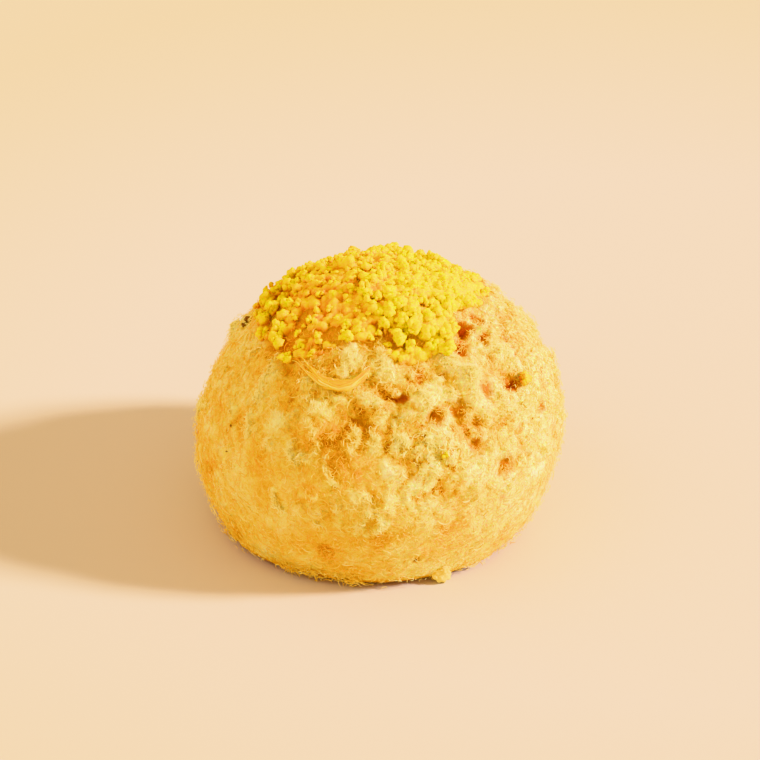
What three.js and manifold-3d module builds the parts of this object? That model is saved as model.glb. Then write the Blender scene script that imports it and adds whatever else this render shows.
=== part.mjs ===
// A floss bun: one round soft bun, coated all over in fluffy meat floss, with a loose patch of yellow
// yolk crumbs on its crown. Millimetres, +Z up, origin at the middle of the underside of its box.
// The coat hides the bread everywhere, so the whole bun is one solid. Its relief holds the lumps and
// matted tufts of the coat, and the crumbs, one long shred and a lump at the foot are fused on.
import * as THREE from "three";
import { mergeVertices } from "three/addons/utils/BufferGeometryUtils.js";
import Module from "manifold-3d";

const wasm = await Module();
wasm.setup();

// The bun's outline: a domed crown over a widest ring, and a lower half cut off flat by the table.
const BUN_RADIUS = 39.7;
const WAIST_HEIGHT = 20;
const CROWN_RISE = 37.4;
const CROWN_POWER = 1.84; // 2 would be an ellipse, and less is a little more peaked
const UNDER_DROP = 37; // depth of the ellipse that the lower half would be, if it weren't cut off
const BASE_ROUNDING = 3.5;
const LEAN = 0.07; // how far the crown stands to +X, for each millimetre above the waist

// Unevenness of the coat: a wave's height, the distance between its lumps, and where its pattern starts.
const LUMPS = { height: 0.9, spacing: 21, start: new THREE.Vector3(5.8, 6.4, 5.9) };
const MATTING = { height: 1.1, spacing: 7.2, start: new THREE.Vector3(9.2, 3.7, 5.1) };
const FOOT_SMOOTHNESS = { share: 0.35, below: 12, above: 30 }; // the matting is lower near the foot
const BODY_DETAIL = 14; // subdivisions of the icosahedron that the body is shaped from

// The largest tufts that stand out of the coat, each by its place on it, its radius and its height.
const TUFTS = [
  { azimuth: -115, height: 37, radius: 5.4, proud: 1.5 },
  { azimuth: -110, height: 26, radius: 4.8, proud: 1.2 },
  { azimuth: -92, height: 43, radius: 5.1, proud: 1.1 },
  { azimuth: -75, height: 43, radius: 6.4, proud: 1.5 },
  { azimuth: -52, height: 45, radius: 6.7, proud: 1.6 },
  { azimuth: -38, height: 33, radius: 5.8, proud: 1.3 },
  { azimuth: -12, height: 40, radius: 6.4, proud: 1.5 },
  { azimuth: 28, height: 36, radius: 6.1, proud: 1.4 },
  { azimuth: 75, height: 43, radius: 6.4, proud: 1.5 },
  { azimuth: 118, height: 32, radius: 5.8, proud: 1.4 },
  { azimuth: 24, height: 50, radius: 7.4, proud: 1.3 },
  { azimuth: 163, height: 38, radius: 6.1, proud: 1.2 },
  { azimuth: 166, height: 48, radius: 7.4, proud: 1.6 },
  { azimuth: -158, height: 35, radius: 5.4, proud: 1.3 },
];

// The patch of crumbs, as seen from above: a low heap, thickest in the middle. Its edge draws in at bays.
const PATCH = { x: -2.8, y: 0, radius: 24.5 };
const BAYS = [
  { azimuth: -100, halfWidth: 30, depth: 5.8 },
  { azimuth: -25, halfWidth: 26, depth: 5.2 },
  { azimuth: 70, halfWidth: 30, depth: 3.2 },
  { azimuth: 135, halfWidth: 26, depth: 2.6 },
];
const HEAP = { height: 1.1, radius: 28.5 };
const CRUMB_COUNT = 180;
const CRUMB_STRAYING = 0.12; // in radians, from its place in the spiral
const CRUMB_SHAPE = { width: 0.85, spread: 0.3, thickness: 0.85 };
const LARGE_CRUMB = { least: 1.5, most: 2.2 }; // radius
const SMALL_CRUMB = { least: 1.0, most: 1.5 };
const LARGE_IN_SEVEN = 3; // how many of each seven crumbs are large
const CRUMB_LIFT = 0.3; // of its radius, from the heap to its middle
const STRAY_CRUMBS = [
  { azimuth: -27, height: 40.2, radius: 1.5 },
  { azimuth: -69, height: 33.3, radius: 0.9 },
  { azimuth: -116, height: 51.6, radius: 1.4 },
];

// The long curved shred under the patch, on the -Y side: it hangs in a shallow arc and thickens to +X.
const SHRED = { from: -134, to: -98, height: 47.8, sag: 3, lift: 0.9 };
const SHRED_RADIUS = { tip: 0.05, thin: 0.35, thick: 1.15 };
const SHRED_FLATNESS = 0.6; // thickness to width
const SHRED_LOWEST = 1.3; // over 1 puts its lowest place nearer to its thick end
const SHRED_STEPS = 9;
const SHRED_SIDES = 6;

// The lump of floss that has dropped against the foot of the bun.
const DROPPED_LUMP = { azimuth: -65, radius: 2.2, out: 35.4, seed: 900 };

const floss = new THREE.MeshStandardMaterial({ color: 0xf3c766, roughness: 0.95, metalness: 0 });

const GOLDEN_ANGLE = Math.PI * (3 - Math.sqrt(5));
const UP = new THREE.Vector3(0, 0, 1);
const radians = THREE.MathUtils.degToRad;

// A number from 0 to 1 that looks random but is the same each time for the same three numbers.
function scramble(a, b, c) {
  const v = Math.sin(a * 127.1 + b * 311.7 + c * 74.7) * 43758.5453;
  return v - Math.floor(v);
}

// Smooth noise from -1 to 1 at a point, with its lumps about 1 apart.
function noise(x, y, z) {
  const cell = [x, y, z].map(Math.floor);
  const [u, v, w] = [x, y, z].map((at, i) => THREE.MathUtils.smoothstep(at - cell[i], 0, 1));
  let sum = 0;
  for (let corner = 0; corner < 8; corner++) {
    const [i, j, k] = [corner & 1, (corner >> 1) & 1, corner >> 2];
    const share = (i ? u : 1 - u) * (j ? v : 1 - v) * (k ? w : 1 - w);
    sum += share * scramble(cell[0] + i, cell[1] + j, cell[2] + k);
  }
  return 2 * sum - 1;
}

const wave = ({ height, spacing, start }, p) =>
  height * noise(...p.clone().divideScalar(spacing).add(start));

// A bump's height at a distance from its middle, for a bump that ends at `radius`.
const bump = (distance, radius) => Math.max(0, 1 - (distance / radius) ** 2) ** 2;

// How far the coat stands out of the plain outline at a point on it.
function relief(p) {
  const { share, below, above } = FOOT_SMOOTHNESS;
  const loose = THREE.MathUtils.lerp(share, 1, THREE.MathUtils.smoothstep(p.z, below, above));
  let height = wave(LUMPS, p) + loose * wave(MATTING, p);
  for (const tuft of TUFTS) height += tuft.proud * bump(p.distanceTo(tuft.point), tuft.radius);
  if (p.z > WAIST_HEIGHT) height += HEAP.height * bump(Math.hypot(p.x - PATCH.x, p.y - PATCH.y), HEAP.radius);
  return height;
}

const lean = (p) => p.setX(p.x + LEAN * (p.z - WAIST_HEIGHT));

// The plain outline's radius at a height, and its height at a radius on the crown.
function outlineRadius(z) {
  const up = z - WAIST_HEIGHT;
  if (up < 0) return BUN_RADIUS * Math.sqrt(1 - (up / UNDER_DROP) ** 2);
  return BUN_RADIUS * Math.max(0, 1 - (up / CROWN_RISE) ** CROWN_POWER) ** (1 / CROWN_POWER);
}

function outlineHeight(radius) {
  const share = Math.min(1, radius / BUN_RADIUS);
  return WAIST_HEIGHT + CROWN_RISE * (1 - share ** CROWN_POWER) ** (1 / CROWN_POWER);
}

// The plain outline's point at an azimuth and a height.
const outlinePoint = (azimuth, z) =>
  new THREE.Vector3(Math.cos(azimuth), Math.sin(azimuth), 0).multiplyScalar(outlineRadius(z)).setZ(z);

for (const tuft of TUFTS) tuft.point = outlinePoint(radians(tuft.azimuth), tuft.height);

const SLOPE_STEP = 0.5; // each way from the place where the outline's slope is taken

// The coat's point, with its relief, and its outward direction: by its height, or by its radius from above.
function coatAt(azimuth, z) {
  const slope = (outlineRadius(z - SLOPE_STEP) - outlineRadius(z + SLOPE_STEP)) / (2 * SLOPE_STEP);
  const point = outlinePoint(azimuth, z);
  const outward = point.clone().setZ(0).normalize().setZ(slope).normalize();
  return { point: lean(point.addScaledVector(outward, relief(point))), outward };
}

function crownAt(azimuth, radius) {
  const inner = Math.max(0, radius - SLOPE_STEP);
  const outer = radius + SLOPE_STEP;
  const fall = (outlineHeight(inner) - outlineHeight(outer)) / (outer - inner);
  const side = new THREE.Vector3(Math.cos(azimuth), Math.sin(azimuth), 0);
  const point = side.clone().multiplyScalar(radius).setZ(outlineHeight(radius));
  const outward = side.clone().multiplyScalar(fall).setZ(1).normalize();
  return { point: lean(point.addScaledVector(outward, relief(point))), outward };
}

// Joins two distances smoothly where they are within `blend` of each other.
function smoothLeast(a, b, blend) {
  const near = Math.max(0, blend - Math.abs(a - b)) / blend;
  return Math.min(a, b) - (near * near * blend) / 4;
}

// The body's point in a direction from the middle of the widest ring.
function bodyPoint(direction) {
  const across = Math.hypot(direction.x, direction.y);
  const crown = direction.z >= 0;
  const power = crown ? CROWN_POWER : 2;
  const rise = crown ? CROWN_RISE : UNDER_DROP;
  const share = (across / BUN_RADIUS) ** power + (Math.abs(direction.z) / rise) ** power;
  const outline = share ** (-1 / power);
  const p = direction.clone().multiplyScalar(outline);
  p.z += WAIST_HEIGHT;
  let reach = outline + relief(p);
  if (!crown) {
    const toTable = WAIST_HEIGHT / Math.max(1e-6, -direction.z);
    reach = smoothLeast(reach, toTable, BASE_ROUNDING);
  }
  p.copy(direction).multiplyScalar(reach);
  p.z = Math.max(0, p.z + WAIST_HEIGHT);
  return lean(p);
}

// A closed three.js geometry as a solid.
function solid(geometry) {
  const bare = geometry.clone();
  bare.deleteAttribute("normal");
  bare.deleteAttribute("uv");
  const merged = mergeVertices(bare, 1e-4);
  return new wasm.Manifold(
    new wasm.Mesh({
      numProp: 3,
      vertProperties: new Float32Array(merged.attributes.position.array),
      triVerts: new Uint32Array(merged.index.array),
    }),
  );
}

function body() {
  const geometry = new THREE.IcosahedronGeometry(1, BODY_DETAIL);
  const at = geometry.attributes.position;
  const direction = new THREE.Vector3();
  for (let i = 0; i < at.count; i++) {
    const p = bodyPoint(direction.fromBufferAttribute(at, i).normalize());
    at.setXYZ(i, p.x, p.y, p.z);
  }
  return solid(geometry);
}

const coarse = () => new THREE.OctahedronGeometry(1);
const fine = () => new THREE.IcosahedronGeometry(1);

const PEBBLE_REACH = { least: 0.82, most: 1.18 }; // of its radius, at each corner

// An irregular pebble from a ball of few faces, its third size along `outward`, turned about it.
function pebble(ball, centre, outward, sizes, turn, seed) {
  const geometry = ball();
  const at = geometry.attributes.position;
  const facing = new THREE.Quaternion().setFromUnitVectors(UP, outward);
  const v = new THREE.Vector3();
  for (let i = 0; i < at.count; i++) {
    v.fromBufferAttribute(at, i);
    const [a, b, c] = [v.x, v.y, v.z].map((n) => Math.round(n * 100));
    const draw = scramble(a + seed, b - seed, c); // the same for each copy of a corner
    v.multiplyScalar(THREE.MathUtils.lerp(PEBBLE_REACH.least, PEBBLE_REACH.most, draw));
    v.multiply(sizes).applyAxisAngle(UP, turn).applyQuaternion(facing).add(centre);
    at.setXYZ(i, v.x, v.y, v.z);
  }
  return solid(geometry);
}

// The patch's radius at an azimuth about its own middle.
function patchRadius(azimuth) {
  let radius = PATCH.radius;
  for (const bay of BAYS) {
    const away = azimuth - radians(bay.azimuth);
    const turn = Math.atan2(Math.sin(away), Math.cos(away));
    radius -= bay.depth * bump(turn, radians(bay.halfWidth));
  }
  return radius;
}

// The crumbs lie in sunflower order, which covers the patch evenly, each pushed a little off its place.
function crumbs() {
  const { width, spread, thickness } = CRUMB_SHAPE;
  const made = [];
  for (let i = 0; i < CRUMB_COUNT; i++) {
    const share = Math.sqrt((i + 0.5) / CRUMB_COUNT);
    const azimuth = i * GOLDEN_ANGLE + CRUMB_STRAYING * scramble(i, 1, 2);
    const out = share * patchRadius(azimuth);
    const [x, y] = [PATCH.x + out * Math.cos(azimuth), PATCH.y + out * Math.sin(azimuth)];
    const { point, outward } = crownAt(Math.atan2(y, x), Math.hypot(x, y));
    const large = i % 7 < LARGE_IN_SEVEN;
    const { least, most } = large ? LARGE_CRUMB : SMALL_CRUMB;
    const radius = THREE.MathUtils.lerp(least, most, scramble(i, 2, 3));
    const sizes = new THREE.Vector3(1, width + spread * scramble(i, 4, 5), thickness);
    sizes.multiplyScalar(radius);
    point.addScaledVector(outward, CRUMB_LIFT * radius);
    const turn = 2 * Math.PI * scramble(i, 5, 6);
    made.push(pebble(large ? fine : coarse, point, outward, sizes, turn, i));
  }
  STRAY_CRUMBS.forEach(({ azimuth, height, radius }, i) => {
    const { point, outward } = coatAt(radians(azimuth), height);
    const sizes = new THREE.Vector3(1, 1, thickness).multiplyScalar(radius);
    point.addScaledVector(outward, CRUMB_LIFT * radius);
    made.push(pebble(fine, point, outward, sizes, i, CRUMB_COUNT + i));
  });
  return made;
}

// The long shred, as rings round its line, with a point at each end.
function shred() {
  const rings = [];
  for (let i = 0; i <= SHRED_STEPS; i++) {
    const t = i / SHRED_STEPS;
    const azimuth = radians(THREE.MathUtils.lerp(SHRED.from, SHRED.to, t));
    const sag = SHRED.sag * Math.sin(Math.PI * t ** SHRED_LOWEST);
    const { point, outward } = coatAt(azimuth, SHRED.height - sag);
    rings.push({ centre: point.addScaledVector(outward, SHRED.lift * t), outward, t });
  }
  const vertices = [];
  const faces = [];
  rings.forEach(({ centre, outward, t }, i) => {
    const end = i === 0 || i === SHRED_STEPS;
    const radius = end ? SHRED_RADIUS.tip : THREE.MathUtils.lerp(SHRED_RADIUS.thin, SHRED_RADIUS.thick, t);
    const before = rings[Math.max(0, i - 1)].centre;
    const along = rings[Math.min(SHRED_STEPS, i + 1)].centre.clone().sub(before).normalize();
    const across = new THREE.Vector3().crossVectors(along, outward).normalize();
    for (let k = 0; k < SHRED_SIDES; k++) {
      const angle = (2 * Math.PI * k) / SHRED_SIDES;
      const rim = centre.clone().addScaledVector(across, radius * Math.cos(angle));
      vertices.push(rim.addScaledVector(outward, SHRED_FLATNESS * radius * Math.sin(angle)));
      const next = (k + 1) % SHRED_SIDES;
      const [a, b] = [i * SHRED_SIDES + k, i * SHRED_SIDES + next];
      if (i < SHRED_STEPS) faces.push(a, a + SHRED_SIDES, b, b, a + SHRED_SIDES, b + SHRED_SIDES);
      if (i === 0 && k > 0 && k < SHRED_SIDES - 1) faces.push(0, a, b);
      if (i === SHRED_STEPS && k > 0 && k < SHRED_SIDES - 1) faces.push(i * SHRED_SIDES, b, a);
    }
  });
  const geometry = new THREE.BufferGeometry().setFromPoints(vertices);
  geometry.setIndex(faces);
  return solid(geometry);
}

function droppedLump() {
  const { azimuth, radius, out, seed } = DROPPED_LUMP;
  const side = new THREE.Vector3(Math.cos(radians(azimuth)), Math.sin(radians(azimuth)), 0);
  const centre = side.multiplyScalar(out).setZ(radius);
  const sizes = new THREE.Vector3(1, 1, CRUMB_SHAPE.thickness).multiplyScalar(radius);
  return pebble(fine, lean(centre), UP, sizes, 0, seed);
}

// One solid of everything, without any scrap that touches nothing.
function joined(pieces) {
  const whole = wasm.Manifold.union(pieces);
  const bodies = whole.decompose();
  return bodies.reduce((a, b) => (a.volume() > b.volume() ? a : b));
}

function flossBun() {
  const whole = joined([body(), ...crumbs(), shred(), droppedLump()]).getMesh();
  const geometry = new THREE.BufferGeometry();
  geometry.setAttribute("position", new THREE.BufferAttribute(whole.vertProperties, whole.numProp));
  geometry.setIndex(new THREE.BufferAttribute(whole.triVerts, 1));
  geometry.computeBoundingBox();
  const { min, max } = geometry.boundingBox;
  geometry.translate(-(min.x + max.x) / 2, -(min.y + max.y) / 2, -min.z);
  geometry.computeVertexNormals();
  const mesh = new THREE.Mesh(geometry, floss);
  mesh.name = "floss_bun";
  return mesh;
}

const bun = new THREE.Group();
bun.add(flossBun());

export default bun;
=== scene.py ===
# A chicken floss bun: a soft round bun in a matted coat of fine floss, with a heap of yolk crumbs on top.
# The coat, its fibres and curls, the crumbs, the long shred, the dark flecks and what has dropped at the
# foot are separate pieces that together stand for the one solid. Lengths are in millimetres about the
# bun's own axis, and become metres in the frame when a mesh is made. The floor and camera are in metres.
# Azimuths in the tables are in degrees. A ray is a direction from the middle of the bun's widest ring.
import math
from itertools import combinations, product

import bpy
import numpy as np
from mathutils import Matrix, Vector


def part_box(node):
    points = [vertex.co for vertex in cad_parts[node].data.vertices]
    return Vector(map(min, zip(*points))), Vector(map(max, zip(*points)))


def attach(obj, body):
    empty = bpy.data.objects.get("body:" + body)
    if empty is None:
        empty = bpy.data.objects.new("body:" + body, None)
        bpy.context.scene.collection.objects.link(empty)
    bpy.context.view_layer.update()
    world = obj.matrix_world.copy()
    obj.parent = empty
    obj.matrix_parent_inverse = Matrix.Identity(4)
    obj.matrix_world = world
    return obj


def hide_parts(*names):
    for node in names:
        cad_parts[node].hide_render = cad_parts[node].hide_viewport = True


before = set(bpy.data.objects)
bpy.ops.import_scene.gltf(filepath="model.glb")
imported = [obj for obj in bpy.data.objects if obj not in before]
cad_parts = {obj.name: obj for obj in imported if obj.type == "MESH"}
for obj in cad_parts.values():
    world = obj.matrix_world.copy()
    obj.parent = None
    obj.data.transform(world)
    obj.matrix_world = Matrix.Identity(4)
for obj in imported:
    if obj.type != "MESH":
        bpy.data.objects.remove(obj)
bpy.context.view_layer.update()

MM = 0.001
NODE = "floss_bun"

# ---- the bun's form, as the solid has it

BUN_RADIUS = 39.7
WAIST_HEIGHT = 20.0
CROWN_RISE = 37.4
CROWN_POWER = 1.84
UNDER_DROP = 37.0
BASE_ROUNDING = 3.5
LEAN = 0.07

LUMPS = {"height": 0.9, "spacing": 21.0, "start": (5.8, 6.4, 5.9)}
MATTING = {"height": 1.1, "spacing": 7.2, "start": (9.2, 3.7, 5.1)}
FOOT_SMOOTHNESS = {"share": 0.35, "below": 12.0, "above": 30.0}

# azimuth, height, radius, how far each stands out
LARGE_TUFTS = [
    (-115, 37, 5.4, 1.5), (-110, 26, 4.8, 1.2), (-92, 43, 5.1, 1.1), (-75, 43, 6.4, 1.5),
    (-52, 45, 6.7, 1.6), (-38, 33, 5.8, 1.3), (-12, 40, 6.4, 1.5), (28, 36, 6.1, 1.4),
    (75, 43, 6.4, 1.5), (118, 32, 5.8, 1.4), (24, 50, 7.4, 1.3), (163, 38, 6.1, 1.2),
    (166, 48, 7.4, 1.6), (-158, 35, 5.4, 1.3),
]

PATCH = {"x": -2.8, "y": 0.0, "radius": 24.5}
# azimuth about the patch's middle, half width, both in degrees, and depth
BAYS = [(-100, 30, 5.8), (-25, 26, 5.2), (70, 30, 3.2), (135, 26, 2.6)]
HEAP = {"height": 1.1, "radius": 28.5}
CRUMB_COUNT = 180
CRUMB_STRAYING = 0.12
LARGE_CRUMB = (1.5, 2.2)
SMALL_CRUMB = (1.0, 1.5)
LARGE_IN_SEVEN = 3
CRUMB_LIFT = 0.3
STRAY_CRUMBS = [(-27, 40.2, 1.5), (-69, 33.3, 0.9), (-116, 51.6, 1.4)]  # azimuth, height, radius

SHRED_LIFT = 0.9
DROPPED_LUMP = {"azimuth": -65.0, "radius": 2.2, "out": 35.4}

GOLDEN_ANGLE = math.pi * (3 - math.sqrt(5))
MIDDLE = np.array([0.0, 0.0, WAIST_HEIGHT])


def scramble(a, b, c):
    """A number from 0 to 1 that looks random but is the same for the same three numbers."""
    v = np.sin(a * 127.1 + b * 311.7 + c * 74.7) * 43758.5453
    return v - np.floor(v)


def smoothstep(t):
    t = np.clip(t, 0.0, 1.0)
    return t * t * (3 - 2 * t)


def noise(p):
    """Smooth noise from -1 to 1 at each row of p, with its lumps about 1 apart."""
    cell = np.floor(p)
    f = smoothstep(p - cell)
    total = 0.0
    for k, j, i in product((0, 1), repeat=3):
        share = 1.0
        for axis, side in enumerate((i, j, k)):
            share = share * (f[:, axis] if side else 1 - f[:, axis])
        total = total + share * scramble(cell[:, 0] + i, cell[:, 1] + j, cell[:, 2] + k)
    return 2 * total - 1


def wave(p, height, spacing, start):
    return height * noise(p / spacing + np.array(start))


def apart(p, q):
    """The distance of each point of p from q."""
    return np.linalg.norm(p - q, axis=1)


def bump(distance, radius):
    """A bump's height at a distance from its middle, for a bump that ends at its radius."""
    return np.maximum(0.0, 1 - (distance / radius) ** 2) ** 2


def outline_radius(z):
    up = z - WAIST_HEIGHT
    if up < 0:
        return BUN_RADIUS * math.sqrt(1 - (up / UNDER_DROP) ** 2)
    return BUN_RADIUS * max(0.0, 1 - (up / CROWN_RISE) ** CROWN_POWER) ** (1 / CROWN_POWER)


def outline_height(radius):
    share = np.minimum(1.0, radius / BUN_RADIUS)
    return WAIST_HEIGHT + CROWN_RISE * (1 - share**CROWN_POWER) ** (1 / CROWN_POWER)


def place_at(azimuth, z):
    """The plain outline's point at an azimuth in degrees and a height."""
    a = math.radians(azimuth)
    r = outline_radius(z)
    return np.array([r * math.cos(a), r * math.sin(a), z])


def outline_terms(ray):
    """How far out directions point, and the power and rise of the crown or the foot that they point to."""
    across = np.hypot(ray[:, 0], ray[:, 1])
    crown = ray[:, 2] >= 0
    return across, np.where(crown, CROWN_POWER, 2.0), np.where(crown, CROWN_RISE, UNDER_DROP)


def outline_reach(ray):
    """How far the plain outline is from the middle of the widest ring."""
    across, power, rise = outline_terms(ray)
    return ((across / BUN_RADIUS) ** power + (np.abs(ray[:, 2]) / rise) ** power) ** (-1 / power)


def on_outline(ray):
    return ray * outline_reach(ray)[:, None] + MIDDLE


def looseness(p):
    """1 over the sides, and less near the foot, where the coat is pressed smooth."""
    share, below, above = FOOT_SMOOTHNESS.values()
    return share + (1 - share) * smoothstep((p[:, 2] - below) / (above - below))


def sum_of_bumps(p, places):
    """The bumps' height at points, from rows of azimuth, height, radius and how far each stands out."""
    height = np.zeros(len(p))
    for azimuth, z, radius, proud in places:
        height += proud * bump(apart(p, place_at(azimuth, z)), radius)
    return height


def relief(p):
    """How far the solid's coat stands out of the plain outline at points on it."""
    matting = looseness(p) * wave(p, **MATTING)
    heap = HEAP["height"] * bump(np.hypot(p[:, 0] - PATCH["x"], p[:, 1] - PATCH["y"]), HEAP["radius"])
    heap = np.where(p[:, 2] > WAIST_HEIGHT, heap, 0.0)
    return wave(p, **LUMPS) + matting + sum_of_bumps(p, LARGE_TUFTS) + heap


def patch_radius(azimuth):
    """The crumb patch's radius at azimuths in radians about its own middle."""
    radius = PATCH["radius"]
    for bay, half_width, depth in BAYS:
        away = azimuth - math.radians(bay)
        turn = np.arctan2(np.sin(away), np.cos(away))
        radius = radius - depth * bump(turn, math.radians(half_width))
    return radius


# ---- the coat's finer form

# Where the coat is fluffy: most toward one azimuth, least opposite to it, and not at the foot.
FLUFF = {"azimuth": -30.0, "least": 0.3, "below": 10.0, "above": 29.0}
FLUFF_PATCHES = {"height": 0.25, "spacing": 13.0, "start": 4.2}
# Smooth stretches in it: azimuth, height, radius, share
CALM = [
    (-124, 27, 16, 0.5), (-107, 32, 12, 0.6), (-93, 27, 10, 0.35), (-52, 22, 15, 0.6), (-15, 24, 14, 0.5),
]
# Where it is cream and not golden: painted light toward the lit side, more so higher up, and a little cream
# at the back.
CREAM_AND_LIGHT = {"azimuth": -15.0, "middle": 0.12, "side": 0.80, "level": 24.0, "over": 95.0, "back": 0.3}
CREAM_PATCHES = {"height": 0.25, "spacing": 11.0, "start": 1.7}
# Deeper golden zones: azimuth, height, radius, share
GOLDEN = [
    (-147, 46, 10, 0.33), (-105, 33, 13, 0.18), (-124, 25, 12, 0.06),
    (-72, 15, 6, 0.14), (-108, 14, 7, 0.08), (-74, 31, 11, 0.1),
]

# Soft patches of deeper gold, and mottling, in the colour alone.
SPOTS = {"height": 1.0, "spacing": 5.2, "start": 2.9}
SPOTS_OVER = 0.3
SPOT_DEPTH = 0.2
MOTTLE = {"height": 0.16, "spacing": 6.6, "start": 8.3}
# The tone of plain coat, and what its clumps and matting add (painted shade in creases, painted light on
# crests), its tufts add (partly painted light) and the cream adds (painted light)
TONE = {"plain": 0.45, "clumps": 0.75, "matting": 0.3, "tufts": 0.34, "cream": 0.34}

# Felted clumps with creases between them: height, spacing and where the pattern starts.
CLUMPS = [
    {"height": 1.5, "spacing": 4.1, "start": (2.3, 8.1, 4.4)},
    {"height": 0.9, "spacing": 2.1, "start": (7.7, 1.9, 6.2)},
    {"height": 0.35, "spacing": 1.1, "start": (3.1, 5.5, 9.4)},
]
CLUMP_MEAN = 0.28  # the mean of the noise without its sign
TURN = np.array([[0.8, 0.36, 0.48], [-0.6, 0.48, 0.64], [0.0, -0.8, 0.6]])  # turns the noise's grid

# Hollows between the clumps: azimuth, height, radius, depth. Their colour is painted shade, darker the
# deeper they are, and darkest at the depth given below.
DEEPEST_SHADE = 1.7
HOLLOWS = [
    (-89, 44.3, 1.7, 1.3), (-85.5, 43.8, 1.7, 1.5), (-82, 43.6, 1.6, 1.4), (-38, 51, 3.3, 1.6),
    (-22, 50.8, 3.1, 1.6), (-47, 49.3, 3.2, 1.6), (-32, 48.4, 2.2, 1.3), (-36, 45.5, 2.4, 1.3),
    (-31, 40.2, 2.9, 1.6), (0, 48.8, 2, 1.4), (-5, 48, 2, 1.5), (-11, 47, 2, 1.5),
    (-16, 45.8, 2, 1.4), (-19, 44.3, 1.8, 1.2), (-22, 33, 2.2, 0.9), (-62, 46.5, 2, 0.9),
    (-45, 42, 3.4, 0.95), (-60, 40.3, 3.7, 0.9), (-70, 40.2, 3.5, 0.9), (-53, 36.5, 2.6, 0.8),
    (-56, 33.3, 3.5, 0.9), (-47, 27.2, 3.5, 0.9), (-80, 30.2, 2.7, 0.45), (-49, 20.4, 2.4, 0.5),
    (-151, 46.5, 2.4, 0.7), (-137, 44.9, 2.8, 0.7), (-98, 40.2, 3, 0.45), (-76, 8.3, 1.5, 0.9),
    (12, 33, 3, 1), (48, 41, 3.2, 1.1), (60, 27, 2.8, 0.8), (98, 38, 3.4, 1.1),
    (140, 42, 3, 1), (146, 24, 3, 0.7), (-172, 30, 2.8, 0.7),
]

# Small pale tufts that the photo shows one by one: azimuth, height, radius, thickness
SHOWN_TUFTS = [
    (-111, 49.5, 2.2, 0.9), (-94, 50.8, 2.4, 1), (-91, 46.8, 2.2, 0.8), (-92, 42.5, 2.8, 0.9),
    (-98, 43.8, 2.2, 0.7), (-117, 41, 2.6, 0.9), (-114, 36.5, 2.4, 0.9), (-118, 31.5, 1.8, 0.6),
    (-107, 30.5, 1.6, 0.6), (-110, 25, 1.5, 0.7), (-96, 25.8, 1.8, 0.7), (-92, 22.5, 2.2, 0.8),
    (-95, 18.6, 1.8, 0.6), (-87, 20.4, 1.8, 0.6), (-101, 37.4, 2, 0.8), (-93, 36, 2.1, 0.8),
    (-84, 37, 2.4, 0.8), (-78, 34.5, 2.2, 0.8), (-75, 43, 2.8, 0.9), (-69, 36, 2.4, 0.8),
    (-66, 45.4, 2.6, 0.9), (-144, 43.5, 3.2, 0.6), (-143, 39, 2.8, 0.6), (-141, 33.5, 2.4, 0.5),
    (-131, 37, 2, 0.5), (-52, 44.5, 2.8, 0.9), (-57, 48, 2.4, 0.8), (-34, 47.5, 2.8, 0.9),
    (-29, 43, 2.6, 0.9), (-50, 37.5, 2.6, 0.8), (-63, 30, 2.2, 0.7), (-6, 51, 3.4, 1.2),
    (-2, 45.5, 3, 1), (-4, 38.5, 3.2, 1.1), (3, 32, 2.8, 0.9), (-8, 26, 2.6, 0.8),
    (176, 29, 2.6, 0.6),
]
TUFT_SITES = 1500  # spread evenly over the whole coat, and kept where it is fluffy
TUFT_KEPT = 0.85
TUFT_STRAYING = 0.8  # of the sites' spacing
TUFT_RADIUS = (1.2, 2.3)
TUFT_HEIGHT = (0.3, 1.0)
SHOWN_PALENESS = 1.6  # of the tufts that the photo shows and of all locks, where other tufts have 1
ROOM_ROUND_SHOWN = 2.9  # no other tuft is nearer than this to them
# Painted shade where the coat meets the table: the coat is darkened below this height.
FOOT_SHADE_HEIGHT = 3.2  # the coat is dark below this height

# Curved locks that the photo shows one by one: places along each as azimuth and height,
# and its half width.
LOCKS = [
    ([(-119, 39), (-114, 37.5), (-112, 34.8), (-114, 32.3), (-119, 30.4)], 0.9),
    ([(-121, 35), (-122, 32.5), (-120, 30.5)], 0.6),
    ([(-109, 32.4), (-107, 29.8), (-103, 27.2)], 0.6),
    ([(-99, 27), (-94, 26), (-91, 23.5), (-94, 20.5), (-97, 18)], 0.9),
    ([(-90, 22), (-88, 19), (-92, 17)], 0.8),
    ([(-103, 39), (-100, 38.5), (-99, 36), (-101, 34.5)], 0.7),
    ([(-95, 38.5), (-92, 37.5), (-92, 35)], 0.7),
    ([(-86, 38), (-82, 37), (-81, 34.5)], 0.8),
    ([(-76, 38), (-73, 36), (-74, 33)], 0.7),
    ([(-78, 45), (-74, 44.5), (-72, 42)], 0.8),
    ([(-112, 50.5), (-110, 49), (-110, 47.5)], 0.8),
    ([(-96, 52), (-93, 50.5), (-92, 48)], 0.9),
    ([(-147, 46), (-145, 42), (-143, 38)], 1.2),
    ([(-144, 36.5), (-141, 34), (-139, 31.5)], 0.9),
    ([(-125, 22.5), (-123, 20.5), (-120, 19.5)], 0.7),
    ([(-55, 46.5), (-50, 45.5), (-47, 43)], 1),
    ([(-32, 47.5), (-27, 46), (-25, 43.5)], 1),
]
# The side that the photo doesn't show has the like, drawn at random.
BACK_LOCKS = {"count": 18, "from": -6, "over": 200, "height": (17, 46), "half_width": (0.6, 1.0)}
LOCK_PLACES = 12
LOCK_PALENESS = 0.22  # of the curls in the locks, over those in the tufts
LOCK_CURLS = 0.6  # the share of a tuft's curls that each place of a lock has
LOCK_HEIGHT = 0.85


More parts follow.
